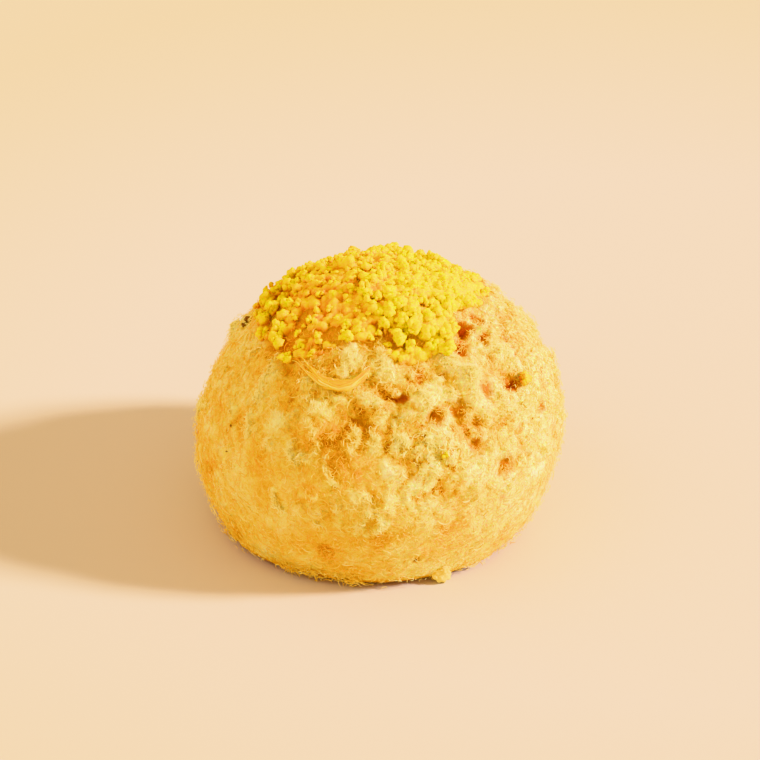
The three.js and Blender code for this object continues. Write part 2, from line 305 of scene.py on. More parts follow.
def fluffiness(p):
    """1 where the coat stands in fluffy clumps, less where it is velvety, and 0 at the foot."""
    turn = 0.5 + 0.5 * np.cos(np.arctan2(p[:, 1], p[:, 0]) - math.radians(FLUFF["azimuth"]))
    side = FLUFF["least"] + (1 - FLUFF["least"]) * smoothstep(1.15 * turn - 0.1)
    up = smoothstep((p[:, 2] - FLUFF["below"]) / (FLUFF["above"] - FLUFF["below"]))
    return np.clip(up * (side + wave(p, **FLUFF_PATCHES)) - sum_of_bumps(p, CALM), 0, 1)


def patch_share(p):
    """1 well inside the crumb patch and 0 outside it."""
    x, y = p[:, 0] - PATCH["x"], p[:, 1] - PATCH["y"]
    inside = patch_radius(np.arctan2(y, x)) - np.hypot(x, y)
    return smoothstep(inside / 2.5 + 0.5) * (p[:, 2] > WAIST_HEIGHT)


def between(least_and_most, share):
    least, most = least_and_most
    return least + (most - least) * share


def small_tufts(locks):
    """Places of the small tufts, as rows of point, radius, height and paleness."""
    shown = [(*place_at(a, z), radius, high, SHOWN_PALENESS) for a, z, radius, high in SHOWN_TUFTS]
    i = np.arange(TUFT_SITES)
    stray = 2 * TUFT_STRAYING / math.sqrt(TUFT_SITES)
    up = 1 - 2 * (i + 0.5) / TUFT_SITES + 1.5 * stray * (scramble(i, 12, 13) - 0.5)
    up = np.clip(up, -1, 1)
    angle = i * GOLDEN_ANGLE + 3 * stray * (scramble(i, 11, 12) - 0.5)
    level = np.sqrt(1 - up * up)
    p = on_outline(np.column_stack([level * np.cos(angle), level * np.sin(angle), up]))
    radius = between(TUFT_RADIUS, scramble(i, 14, 15))
    high = between(TUFT_HEIGHT, scramble(i, 15, 16))
    nearest = np.min([apart(p, np.array(row[:3])) for row in shown + locks], axis=0)
    kept = scramble(i, 13, 14) < TUFT_KEPT * fluffiness(p) * (1 - patch_share(p))
    kept &= nearest > ROOM_ROUND_SHOWN
    return np.concatenate([shown, np.column_stack([p, radius, high, np.ones(TUFT_SITES)])[kept]])


def along(path, t):
    """The azimuth and height at a share, or at shares, of a path."""
    azimuths, heights = zip(*path)
    at = np.linspace(0, 1, len(path))
    return np.interp(t, at, azimuths), np.interp(t, at, heights)


def lock_rows():
    """The locks as rows of small tufts that run together."""
    rng = np.random.default_rng(41)
    locks = list(LOCKS)
    for i in range(BACK_LOCKS["count"]):
        azimuth = (i + rng.random()) * BACK_LOCKS["over"] / BACK_LOCKS["count"] + BACK_LOCKS["from"]
        height = rng.uniform(*BACK_LOCKS["height"])
        turn = rng.uniform(-4, 4, (3, 2)).cumsum(axis=0)
        path = [(azimuth + 1.5 * a, height + b) for a, b in turn]
        locks.append((path, rng.uniform(*BACK_LOCKS["half_width"])))
    rows = []
    for path, half_width in locks:
        for t in np.linspace(0, 1, LOCK_PLACES):
            high = LOCK_HEIGHT * (0.5 + 0.5 * math.sin(math.pi * t))
            rows.append((*place_at(*along(path, t)), half_width + 0.3, high, SHOWN_PALENESS))
    return rows


lock_tufts = lock_rows()
TUFTS = np.concatenate([small_tufts(lock_tufts), lock_tufts])


def warped(p, amount, spacing):
    """The points moved a little, so that round shapes become uneven."""
    return p + amount * np.column_stack([noise(p / spacing + start) for start in (1.9, 6.3, 8.8)])


def tuft_relief(p):
    """The small tufts' height at points, and how pale they make them, which is partly painted light: 0
    where there is no tuft.
    """
    height, share = np.zeros(len(p)), np.zeros(len(p))
    p = warped(p, 0.95, 1.8)
    order = np.argsort(p[:, 2])
    level = p[order, 2]
    for x, y, z, radius, high, paleness in TUFTS:
        start, end = np.searchsorted(level, (z - radius, z + radius))
        close = order[start:end]
        near = bump(apart(p[close], (x, y, z)), radius)
        height[close] = np.maximum(height[close], high * near)
        share[close] = np.maximum(share[close], paleness * near)
    return height, share


def cream_and_painted_light(p):
    """1 where the coat is cream and 0 where it is golden: painted light toward the lit side, and a little
    cream at the back.
    """
    side = np.cos(np.arctan2(p[:, 1], p[:, 0]) - math.radians(CREAM_AND_LIGHT["azimuth"]))
    up = (p[:, 2] - CREAM_AND_LIGHT["level"]) / CREAM_AND_LIGHT["over"]
    front = smoothstep(CREAM_AND_LIGHT["middle"] + CREAM_AND_LIGHT["side"] * side + up + wave(p, **CREAM_PATCHES))
    return front + CREAM_AND_LIGHT["back"] * smoothstep(-side)


def clump_relief(p):
    total = np.zeros(len(p))
    uneven = warped(p, 1.1, 2.7) @ TURN.T
    for layer in CLUMPS:
        folded = np.abs(noise(uneven / layer["spacing"] + np.array(layer["start"])))
        total += layer["height"] * (folded - CLUMP_MEAN)
    return total * (0.25 + 0.75 * fluffiness(p)) * (1 - 0.5 * patch_share(p))


def coat_reach(ray, fine=True):
    """How far the coat is from the middle of the widest ring."""
    reach = outline_reach(ray)
    p = on_outline(ray)
    height = relief(p)
    if fine:
        height = height + clump_relief(p) + tuft_relief(p)[0] - hollow_relief(p)
    reach = reach + height
    to_table = WAIST_HEIGHT / np.maximum(1e-6, -ray[:, 2])
    near = np.maximum(0.0, BASE_ROUNDING - np.abs(reach - to_table)) / BASE_ROUNDING
    cut = np.minimum(reach, to_table) - near * near * BASE_ROUNDING / 4
    return np.where(ray[:, 2] >= 0, reach, cut)


def leaned(p):
    p = p.copy()
    p[..., 2] = np.maximum(0.0, p[..., 2])
    p[..., 0] += LEAN * (p[..., 2] - WAIST_HEIGHT)
    return p


def coat_at(ray, lift=0.0, fine=True):
    """The coat's points in directions from the middle of the widest ring, raised by `lift`."""
    return leaned(ray * (coat_reach(ray, fine) + lift)[:, None] + MIDDLE)


def outward_at(ray):
    """The plain outline's outward direction."""
    across, power, rise = outline_terms(ray)
    reach = outline_reach(ray)
    side = (across * reach / BUN_RADIUS) ** (power - 1) / BUN_RADIUS
    up = (np.abs(ray[:, 2]) * reach / rise) ** (power - 1) / rise * np.sign(ray[:, 2])
    flat = ray[:, :2] / np.maximum(across, 1e-9)[:, None]
    return unit(np.column_stack([flat * side[:, None], up]))


def unit(v):
    return v / (np.linalg.norm(v, axis=-1, keepdims=True) + 1e-12)


def hollow_relief(p):
    """The hollows' depth at points. Their rims are uneven."""
    return sum_of_bumps(warped(p, 0.8, 1.5), HOLLOWS)


def painted_foot_shade(p):
    """1 at the table and 0 above the foot, which is darkened with painted shade."""
    return 1 - smoothstep(p[:, 2] / FOOT_SHADE_HEIGHT)


def looks_at(ray):
    """For the colours: a tone from 0 in a crease to 1 on a crest, with painted shade in the creases and at
    the foot and painted light on the crests and the lit side; the share of a hollow, for its painted shade;
    and the share of the crumb patch.
    """
    p = on_outline(ray)
    tuft = tuft_relief(p)[1]
    # Painted shade and light: the clumps' and matting's height makes the creases darker and the crests
    # paler.
    high = TONE["clumps"] * clump_relief(p) + TONE["matting"] * looseness(p) * wave(p, **MATTING)
    open_share = 0.32 + 0.5 * fluffiness(p)
    # The cream term is painted light toward the lit side.
    painted_light_and_shade_tone = TONE["plain"] + open_share * high + TONE["tufts"] * tuft + TONE["cream"] * cream_and_painted_light(p)
    # The foot is darkened with painted shade where it meets the table.
    painted_light_and_shade_tone += wave(p, **MOTTLE) - painted_foot_shade(p) - sum_of_bumps(p, GOLDEN)
    spots = smoothstep((wave(p, **SPOTS) - SPOTS_OVER) / 0.25)
    painted_light_and_shade_tone -= SPOT_DEPTH * spots * (1 - 0.6 * np.minimum(1, tuft))
    return np.clip(painted_light_and_shade_tone, 0, 1), np.clip(hollow_relief(p), 0, 1), patch_share(p)


# ---- making meshes


def icosahedron():
    """The corners of each face, counter-clockwise from outside."""
    g = (1 + math.sqrt(5)) / 2
    corners = np.array([(0, s, t * g) for s in (-1, 1) for t in (-1, 1)])
    corners = unit(np.concatenate([np.roll(corners, k, axis=1) for k in range(3)]))
    edge = np.sort(np.linalg.norm(corners[0] - corners, axis=1))[1]
    faces = []
    for A, B, C in combinations(corners, 3):
        if max(np.linalg.norm(A - B), np.linalg.norm(B - C), np.linalg.norm(C - A)) < edge * 1.01:
            faces.append((A, B, C) if np.cross(B - A, C - A) @ A > 0 else (A, C, B))
    return faces


def ball(split):
    """The points on a ball of radius 1, and the triangles, of an icosahedron with each edge split."""
    points, faces = [], []
    for A, B, C in icosahedron():
        index = {}
        for i in range(split + 1):
            for j in range(split + 1 - i):
                index[i, j] = len(points)
                points.append((A * (split - i - j) + B * i + C * j) / split)
        for i in range(split):
            for j in range(split - i):
                faces.append((index[i, j], index[i + 1, j], index[i, j + 1]))
                if i + j < split - 1:
                    faces.append((index[i + 1, j], index[i + 1, j + 1], index[i, j + 1]))
    points = unit(np.array(points))
    _, first, same = np.unique(points.round(6) + 0.0, axis=0, return_index=True, return_inverse=True)
    return points[first], same.reshape(-1)[np.array(faces)]


def copies(faces, count, size):
    """The faces of `count` like meshes of `size` points each."""
    return (faces[None] + (np.arange(count) * size)[:, None, None]).reshape(-1, 3)


def new_object(name, data):
    thing = bpy.data.objects.new(name, data)
    bpy.context.scene.collection.objects.link(thing)
    return thing


def mesh_piece(name, points, faces, material, attributes=None, smooth=True):
    """Makes one piece of the bun from points in millimetres and triangles. Nothing goes under the table."""
    in_frame = (np.maximum(points, (-np.inf, -np.inf, 0.0)) + axis_shift) * MM
    mesh = bpy.data.meshes.new(name)
    mesh.vertices.add(len(points))
    mesh.vertices.foreach_set("co", in_frame.astype(np.float32).ravel())
    mesh.loops.add(faces.size)
    mesh.loops.foreach_set("vertex_index", faces.astype(np.int32).ravel())
    mesh.polygons.add(len(faces))
    mesh.polygons.foreach_set("loop_start", np.arange(0, faces.size, 3, dtype=np.int32))
    mesh.polygons.foreach_set("use_smooth", np.full(len(faces), smooth))
    mesh.update(calc_edges=True)
    for key, values in (attributes or {}).items():
        layer = mesh.attributes.new(key, "FLOAT", "POINT")
        layer.data.foreach_set("value", values.astype(np.float32))
    mesh.validate()
    mesh.materials.append(material)
    piece = new_object(name, mesh)
    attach(piece, "root")
    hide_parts(NODE)


def fibre_mesh(centres, radii, sides):
    """Closed fibres with pointed ends, one for each row of centres. The radii are those of the rings,
    which are all centres but the first and last."""
    count, steps, _ = centres.shape
    rings = steps - 2
    along = unit(np.gradient(centres, axis=1)[:, 1:-1])
    across = unit(np.cross(along, unit(centres[:, :1] - MIDDLE) + 0.01))
    over = np.cross(along, across)
    angles = np.arange(sides) * 2 * math.pi / sides
    rim = np.cos(angles)[:, None] * across[:, :, None] + np.sin(angles)[:, None] * over[:, :, None]
    tube = (centres[:, 1:-1, None] + radii[:, :, None, None] * rim).reshape(count, rings * sides, 3)
    points = np.concatenate([tube, centres[:, :1], centres[:, -1:]], axis=1)
    faces = []
    first, last = rings * sides, rings * sides + 1
    for s in range(sides):
        after = (s + 1) % sides
        faces.append((first, after, s))
        faces.append((last, (rings - 1) * sides + s, (rings - 1) * sides + after))
        for r in range(rings - 1):
            a, b = r * sides + s, r * sides + after
            faces += [(a, b, a + sides), (b, b + sides, a + sides)]
    return points.reshape(-1, 3), copies(np.array(faces), count, rings * sides + 2)


def toward(azimuths, heights):
    """Directions from the middle of the widest ring to places on the outline."""
    places = [place_at(azimuth, z) for azimuth, z in zip(azimuths, heights)]
    return unit(np.array(places) - MIDDLE)


def arcs(rng, ray, curl, length, tilt, lift, steps):
    """Fibres that are each an arc of radius `curl` over the coat, and the height of their points over it.
    An arc in the surface has no tilt; a tilted one dips into the coat at its ends, or stands out of it
    with them."""
    normal = outward_at(ray)
    east = unit(np.cross(np.array([0.0, 0.0, 1.0]), normal) + 1e-6)
    heading = rng.uniform(0, 2 * math.pi, len(ray))[:, None]
    u = np.cos(heading) * east + np.sin(heading) * np.cross(normal, east)
    w = np.cross(normal, u)
    v = np.cos(tilt)[:, None] * w + np.sin(tilt)[:, None] * normal
    top = coat_at(ray) + normal * lift[:, None]
    angle = (np.linspace(-0.5, 0.5, steps)[None] * (length / curl)[:, None])[:, :, None]
    swing = curl[:, None, None] * (np.sin(angle) * u[:, None] + (np.cos(angle) - 1) * v[:, None])
    return top[:, None] + swing, lift[:, None] + np.einsum("ijk,ik->ij", swing, normal)


# ---- materials


def fill(node, values):
    """Gives inputs of a node their values."""
    for key, value in values.items():
        node.inputs[key].default_value = value


def new_material(name):
    material = bpy.data.materials.new(name)
    material.use_nodes = True
    tree = material.node_tree
    return material, tree, tree.nodes["Principled BSDF"]


def ramp(tree, factor, stops):
    node = tree.nodes.new("ShaderNodeValToRGB")
    elements = node.color_ramp.elements
    while len(elements) < len(stops):
        elements.new(0.5)
    for element, (at, colour) in zip(elements, stops):
        element.position = at
        element.color = (*colour, 1.0)
    tree.links.new(factor, node.inputs["Fac"])
    return node.outputs["Color"]


def attribute(tree, name):
    node = tree.nodes.new("ShaderNodeAttribute")
    node.attribute_name = name
    return node.outputs["Fac"]


def maths(tree, operation, a, b):
    """What comes of two sockets or numbers."""
    node = tree.nodes.new("ShaderNodeMath")
    node.operation = operation
    for socket, value in zip(node.inputs, (a, b)):
        if isinstance(value, float):
            socket.default_value = value
        else:
            tree.links.new(value, socket)
    return node.outputs[0]


def total(tree, *terms):
    result = terms[0]
    for term in terms[1:]:
        result = maths(tree, "ADD", result, term)
    return result


def mapped_noise(tree, spacing, detail, swirl, values, clamp):
    """Noise with lumps `spacing` mm apart, by the least and most that go in and that come out."""
    where = tree.nodes.new("ShaderNodeTexCoord")
    texture = tree.nodes.new("ShaderNodeTexNoise")
    fill(texture, {"Scale": 1 / (spacing * MM), "Detail": detail, "Distortion": swirl})
    tree.links.new(where.outputs["Object"], texture.inputs["Vector"])
    node = tree.nodes.new("ShaderNodeMapRange")
    node.clamp = clamp
    fill(node, dict(zip(("From Min", "From Max", "To Min", "To Max"), values)))
    tree.links.new(texture.outputs["Fac"], node.inputs["Value"])
    return node.outputs["Result"]


def grain(tree, spacing, amount, detail=3.0, swirl=0.0):
    """Noise round 0 that reaches about half of `amount` each way."""
    return mapped_noise(tree, spacing, detail, swirl, (0.0, 1.0, -amount, amount), False)


def shaded_pits(tree, spacing, limits, depth):
    """0, but down to -depth in pits where noise from 0 to 1 is less than the limits. On the coat these pits
    are painted shade in the colour, and sunk in the bump.
    """
    return mapped_noise(tree, spacing, 2.0, 1.5, (*limits, -depth, 0.0), True)


def mixed(tree, factor, a, b):
    """Colour a, with colour b in its place by a factor."""
    node = tree.nodes.new("ShaderNodeMix")
    node.data_type = "RGBA"
    for at, value in (("Factor", factor), (6, a), (7, b)):
        tree.links.new(value, node.inputs[at])
    return node.outputs[2]


def bumped(tree, shader, pattern, height):
    """Fine relief, `height` mm for each 1 of the pattern."""
    node = tree.nodes.new("ShaderNodeBump")
    fill(node, {"Strength": 1.0, "Distance": height * MM})
    tree.links.new(pattern, node.inputs["Height"])
    tree.links.new(node.outputs["Normal"], shader.inputs["Normal"])


GLOW_RADIUS = (1.0, 0.6, 0.25)  # light goes deeper into food the redder it is


def set_up(shader, roughness, specular, glow=0.0, glow_depth=1.0):
    """The surface's measures. The glow's depth is in mm."""
    fill(shader, {"Roughness": roughness, "Specular IOR Level": specular, "Subsurface Weight": glow})
    fill(shader, {"Subsurface Radius": GLOW_RADIUS, "Subsurface Scale": glow_depth * MM})


COAT_STOPS = [
    (0.0, (0.62, 0.22, 0.03)), (0.12, (0.75, 0.36, 0.045)), (0.28, (0.89, 0.54, 0.09)),
    (0.45, (0.95, 0.68, 0.15)), (0.7, (0.97, 0.81, 0.29)), (1.0, (0.99, 0.92, 0.49)),
]
# Painted shade in the hollows, darker the deeper they are.
HOLLOW_SHADE_STOPS = [
    (0.1, (0.80, 0.47, 0.03)), (0.35, (0.70, 0.29, 0.02)), (0.65, (0.60, 0.165, 0.015)),
    (0.9, (0.43, 0.065, 0.01)),
]
FIBRE_STOPS = [
    (0.0, (1.0, 0.50, 0.05)), (0.3, (1.0, 0.615, 0.09)), (0.55, (1.0, 0.71, 0.14)),
    (0.8, (1.0, 0.81, 0.23)), (1.0, (1.0, 0.91, 0.41)),
]
UNDER_CRUMB_STOPS = [
    (0.0, (0.74, 0.22, 0.02)), (0.35, (0.81, 0.35, 0.03)), (0.65, (0.84, 0.46, 0.05)),
    (1.0, (0.90, 0.62, 0.08)),
]
CRUMB_STOPS = [
    (0.0, (0.78, 0.25, 0.01)), (0.3, (0.91, 0.46, 0.01)), (0.6, (0.96, 0.64, 0.01)),
    (1.0, (0.96, 0.79, 0.012)),
]
SHRED_STOPS = [(0.0, (0.98, 0.52, 0.02)), (0.5, (1.0, 0.69, 0.05)), (1.0, (1.0, 0.88, 0.32))]
FLECK_STOPS = [(0.3, (0.10, 0.03, 0.01)), (0.8, (0.42, 0.16, 0.05))]


def coat_material():
    """Matted floss: orange-brown in the creases, gold on the flat, and cream on the crests. The
    orange-brown of the creases, pits, hollows and foot is painted shade, and the cream is painted light on
    the crests and the lit side.
    """
    material, tree, shader = new_material("matted_floss")
    swirl = grain(tree, 0.9, 0.4, 5.0, 2.5)
    # Pores and gaps are painted shade in small pits, which the bump also sinks.
    shaded_pores = maths(tree, "MULTIPLY", shaded_pits(tree, 1.6, (0.36, 0.47), 0.4), attribute(tree, "open"))
    shaded_gaps = maths(tree, "MULTIPLY", shaded_pits(tree, 3.8, (0.36, 0.43), 0.55), attribute(tree, "open"))
    tone = total(tree, attribute(tree, "painted_light_and_shade_tone"), grain(tree, 7.0, 0.25), swirl, shaded_pores, shaded_gaps)
    # The hollows' colour is painted shade, by their depth.
    hollow_shade_colour = ramp(tree, attribute(tree, "depth"), HOLLOW_SHADE_STOPS)
    colour = mixed(tree, attribute(tree, "hollow_shade"), ramp(tree, tone, COAT_STOPS), hollow_shade_colour)
    colour = mixed(tree, attribute(tree, "patch"), colour, ramp(tree, tone, UNDER_CRUMB_STOPS))
    tree.links.new(colour, shader.inputs["Base Color"])
    set_up(shader, 0.9, 0.15, 0.5, 1.2)
    bumped(tree, shader, total(tree, swirl, shaded_pores, shaded_gaps), 0.6)
    return material


def tone_material(name, stops, amount, glow=0.0, glow_depth=0.1, roughness=0.75):
    """A colour from the stops by each point's tone, which holds painted shade and light for the fibres and
    crumbs, and a little by place.
    """
    material, tree, shader = new_material(name)
    tone = total(tree, attribute(tree, "tone"), grain(tree, 2.5, amount))
    tree.links.new(ramp(tree, tone, stops), shader.inputs["Base Color"])
    set_up(shader, roughness, 0.25, glow, glow_depth)
    return material


def crumb_material():
    """Cooked yolk: bright yellow outside, and deeper orange in the gaps, painted there as shade."""
    material = tone_material("yolk_crumb", CRUMB_STOPS, 0.45, 0.5, 0.2, 0.55)
    tree = material.node_tree
    bumped(tree, tree.nodes["Principled BSDF"], grain(tree, 0.6, 1.0, 4.0), 0.15)
    return material


def fleck_material():
    material, tree, shader = new_material("dark_fleck")
    tone = total(tree, grain(tree, 0.8, 0.5), 0.5)
    tree.links.new(ramp(tree, tone, FLECK_STOPS), shader.inputs["Base Color"])
    set_up(shader, 0.7, 0.2)
    return material


# ---- the coat

COAT_SPLIT = 94

# The bun's own axis is put where the middle of the solid's box says.
coat_rays, coat_faces = ball(COAT_SPLIT)
solid_coat = coat_at(coat_rays, fine=False)
low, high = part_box(NODE)
frame_middle = (np.array(low[:]) + np.array(high[:])) / 2 / MM
axis_shift = frame_middle - (solid_coat.min(axis=0) + solid_coat.max(axis=0)) / 2
axis_shift[2] = 0.0

painted_light_and_shade_tone, hollow_shade, patch = looks_at(coat_rays)
coat_places = on_outline(coat_rays)
# Painted shade: the foot takes the dark hollow colours too.
foot_shade = painted_foot_shade(coat_places)
coat_looks = {
    "painted_light_and_shade_tone": painted_light_and_shade_tone,
    "hollow_shade": np.maximum(np.clip(1.7 * hollow_shade - 0.2, 0, 1), foot_shade),
    "depth": np.maximum(hollow_relief(coat_places) / DEEPEST_SHADE, 0.8 * foot_shade),
    "patch": patch,
    "open": fluffiness(coat_places) ** 2,
}
mesh_piece("floss_coat", coat_at(coat_rays), coat_faces, coat_material(), coat_looks)

# ---- loose fibres of the coat

BARE_BELOW = 2.4  # no fibre's middle is lower than this
FELT_FIBRES = 6200
FELT_STEPS = 5
THREADS = 1500  # of them, long pale ones
# What a thread has over other fibres of the felt: curl and length as shares, the others added
THREAD = {"curl": 0.5, "length": 1.1, "lift": 0.4, "tone": 0.2, "radius": 0.035}
TUFT_SPREAD = 0.36  # how far the curls of a tuft stray from its middle, as a share of its radius

# Kinds of curl: the least and most of its radius, of its length in such radii, of its lift off the coat and
# of the fibre's own radius. The tilt is a mean and spread, or where it is even, a least and most. The tone
# is that of a crease, what a crest adds with the coat's painted shade and light, and a spread.
TUFT_CURL = {
    "name": "floss_curls", "count": 8000, "seed": 21, "steps": 5, "even": False,
    "curl": (0.35, 1.0), "turn": (1.6, 3.8), "tilt": (0.4, 0.6), "lift": (0.05, 0.7),
    "fibre": (0.05, 0.095), "tone": (0.15, 0.8, 0.12),
}
LOOSE_CURL = {
    "name": "floss_loose_curls", "count": 9400, "seed": 61, "steps": 5, "even": False,
    "curl": (0.4, 1.4), "turn": (1.4, 3.4), "tilt": (0.4, 0.5), "lift": (0.0, 0.45),
    "fibre": (0.04, 0.085), "tone": (0.06, 0.9, 0.14),
}
FUZZ = {
    "name": "floss_fuzz", "count": 11500, "seed": 31, "steps": 4, "even": True,
    "curl": (0.3, 0.8), "turn": (1.6, 3.0), "tilt": (-1.6, 1.6), "lift": (0.2, 1.3),
    "fibre": (0.04, 0.075), "tone": (0.1, 0.85, 0.1),
}
# Painted shade in the pile: how much paler a fibre is for each mm over a level of the coat, so that its
# deeper parts are darker, and the least and most that count
PILE_SHADE = {"amount": 0.55, "level": 0.35, "least": -0.4, "most": 0.55}


def random_rays(rng, count, chance):
    """Directions spread evenly over the coat above its foot, drawn again by their chance to be kept."""
    found = np.empty((0, 3))
    while len(found) < count:
        v = unit(rng.normal(size=(count, 3)))
        keep = (on_outline(v)[:, 2] > BARE_BELOW) & (rng.random(count) < chance(v))
        found = np.concatenate([found, v[keep]])
    return found[:count]


def tone_of(rng, ray, rise, shift, by_crest, spread):
    """The tone of each point of the fibres, with painted shade: paler on the crests of the coat and the
    further out, darker in the hollows.
    """
    painted_light_and_shade_tone, hollow_shade, patch = looks_at(ray)
    # Painted shade: fibres are darker in the hollows.
    tone = shift + by_crest * painted_light_and_shade_tone - 0.4 * hollow_shade - 0.4 * patch + rng.normal(0, spread, len(ray))
    # Painted shade in the pile: the lower points of a fibre are darker.
    over = np.clip(rise - PILE_SHADE["level"], PILE_SHADE["least"], PILE_SHADE["most"])
    return tone[:, None] + PILE_SHADE["amount"] * over


def add_fibres(name, centres, radii, tone, material, sides=3):
    """Adds a piece of fibres. Each row of their tone has one for the fibre, or one for each centre."""
    points, faces = fibre_mesh(centres, radii, sides)
    tone = np.clip(np.broadcast_to(tone, centres.shape[:2]), 0, 1)
    tone = np.concatenate([np.repeat(tone[:, 1:-1], sides, axis=1), tone[:, :1], tone[:, -1:]], axis=1)
    mesh_piece(name, points, faces, material, {"tone": tone.ravel()}, smooth=sides > 3)


THINNER_ENDS = 0.35


def taper(radius, steps):
    """The radii of a fibre's rings: thickest in the middle."""
    t = np.linspace(-1, 1, steps)[None, 1:-1]
    return radius[:, None] * (1 - THINNER_ENDS * t * t)


def room(ray):
    """The share of loose fibres that a place has: few under the crumbs and in the hollows."""
    p = on_outline(ray)
    return (1 - 0.6 * patch_share(p)) * (1 - 0.95 * np.clip(1.6 * hollow_relief(p), 0, 1))


def felt(material):
    """Long flat fibres in every direction, matted into the surface, and pale threads over them."""
    rng = np.random.default_rng(11)
    count = FELT_FIBRES
    ray = random_rays(rng, count, room)
    thread = np.arange(count) < THREADS
    curl = rng.uniform(1.5, 5.0, count) * np.where(thread, THREAD["curl"], 1.0)
    length = rng.uniform(1.8, 4.0, count) * np.where(thread, THREAD["length"], 1.0)
    tilt = rng.normal(0.15, 0.15, count)
    lift = rng.uniform(0.0, 0.2, count) + THREAD["lift"] * thread
    centres, rise = arcs(rng, ray, curl, length, tilt, lift, FELT_STEPS)
    tone = tone_of(rng, ray, rise, 0.05, 0.85, 0.12) + THREAD["tone"] * thread[:, None]
    radius = rng.uniform(0.04, 0.08, count) + THREAD["radius"] * thread
    add_fibres("floss_felt", centres, taper(radius, FELT_STEPS), tone, material)


def curled(rng, kind, ray):
    """Curls of one kind in directions from the middle, and the height of their points over the coat."""
    count = len(ray)
    curl = rng.uniform(*kind["curl"], count)
    length = curl * rng.uniform(*kind["turn"], count)
    tilt = rng.uniform(*kind["tilt"], count) if kind["even"] else rng.normal(*kind["tilt"], count)
    lift = rng.uniform(*kind["lift"], count)
    return arcs(rng, ray, curl, length, tilt, lift, kind["steps"])


def add_curls(rng, kind, ray, material, paler=0.0):
    centres, rise = curled(rng, kind, ray)
    tone = tone_of(rng, ray, rise, *kind["tone"]) + paler
    radius = rng.uniform(*kind["fibre"], len(ray))
    add_fibres(kind["name"], centres, taper(radius, kind["steps"]), tone, material)


def tuft_curls(kind, material):
    """Small tight curls tangled in the tufts and locks."""
    rng = np.random.default_rng(kind["seed"])
    first_lock = len(TUFTS) - len(lock_tufts)
    weight = TUFTS[:, 3] * TUFTS[:, 4]
    weight[first_lock:] *= LOCK_CURLS
    which = rng.choice(len(TUFTS), kind["count"], p=weight / weight.sum())
    aside = rng.normal(size=(kind["count"], 3)) * TUFTS[which, 3, None] * TUFT_SPREAD
    ray = unit(TUFTS[which, :3] + aside - MIDDLE)
    add_curls(rng, kind, ray, material, LOCK_PALENESS * (which >= first_lock)[:, None])


def scattered_curls(kind, material, chance):
    """Curls over the whole coat, by their chance to be kept at a place."""
    rng = np.random.default_rng(kind["seed"])
    add_curls(rng, kind, random_rays(rng, kind["count"], chance), material)


fibre = tone_material("floss_fibre", FIBRE_STOPS, 0.15)
felt(fibre)
tuft_curls(TUFT_CURL, fibre)
scattered_curls(LOOSE_CURL, fibre, lambda ray: (0.3 + 0.7 * fluffiness(on_outline(ray))) * room(ray))
scattered_curls(FUZZ, fibre, room)

# ---- yolk crumbs

KNOBS = (6, 10)  # to a small crumb, and to a large one
KNOB_RADIUS = (0.3, 0.5)  # of the crumb's
KNOB_SPLIT = 2
STRAY_LIFT = 0.4
STRAY_TONES = [-0.75, 0.0, 0.3]  # added to the tone of each stray crumb
# The tone, with painted light: what the outer side of a knob adds past a level, and what the lit side adds
# from an X on
CRUMB_TONE = {"outer": 0.34, "level": 0.55, "lit": 0.6, "from": -8.0, "over": 26.0, "all": -0.12}
BIG_KNOBS = 16
BRIDGE_REACH = 4.4  # crumbs nearer to each other than this have a small one between them
BRIDGE_RADIUS = (0.35, 0.8)
GAPS = {"spacing": 3.4, "start": 7.7, "share": -0.4, "fewer_toward": 45.0}

# The bed: grains packed side by side under the loose crumbs, but for the gaps.
BED_RINGS = 90
BED_GRAINS = 2000
BED_GRAIN_RADIUS = (0.6, 1.15)
BED_SINK = (-0.55, 0.45)
BED_BELOW = -0.8  # in the gaps the bed is this far under the coat
BED_FLOOR = 8.0


def patch_points(azimuth, share):
    """Points of the plain outline over the crumb patch, at shares of its radius."""
    out = share * patch_radius(azimuth)
    x, y = PATCH["x"] + out * np.cos(azimuth), PATCH["y"] + out * np.sin(azimuth)
    return np.column_stack([x, y, outline_height(np.hypot(x, y))])


def crumb_places():
    """The solid's crumbs: the direction and radius of each, and whether it is a large one."""
    i = np.arange(CRUMB_COUNT)
    azimuth = i * GOLDEN_ANGLE + CRUMB_STRAYING * scramble(i, 1, 2)
    ray = unit(patch_points(azimuth, np.sqrt((i + 0.5) / CRUMB_COUNT)) - MIDDLE)
    large = i % 7 < LARGE_IN_SEVEN
    share = scramble(i, 2, 3)
    radius = np.where(large, between(LARGE_CRUMB, share), between(SMALL_CRUMB, share))
    azimuths, heights, sizes = np.array(STRAY_CRUMBS).T
    ray = np.concatenate([ray, toward(azimuths, heights)])
    return ray, np.concatenate([radius, sizes]), np.concatenate([large, sizes > 1])


def knobs(rng, centres, radii, split):
    """Irregular knobbly balls: their points and faces."""
    sphere, faces = ball(split)
    count = len(centres)
    stretch = rng.uniform(0.78, 1.22, (count, 1, 3))
    offset = rng.uniform(0, 50, (count, 1, 3))
    folded = np.abs(noise((sphere * 1.7 + offset).reshape(-1, 3))).reshape(count, -1)
    reach = radii[:, None] * (0.72 + 0.9 * folded)
    points = centres[:, None] + sphere * stretch * reach[:, :, None]
    return points.reshape(-1, 3), copies(faces, count, len(sphere))


def facing(points, centres):
    """How far each point of the knobs is on the outer side of its knob, from -1 to 1."""
    points = points.reshape(len(centres), -1, 3)
    return np.einsum("ijk,ik->ij", unit(points - centres[:, None]), unit(centres - MIDDLE)).ravel()


def join(*meshes):
    points, faces, start = [], [], 0
    for p, f in meshes:
        points.append(p)
        faces.append(f + start)
        start += len(p)
    return np.concatenate(points), np.concatenate(faces)


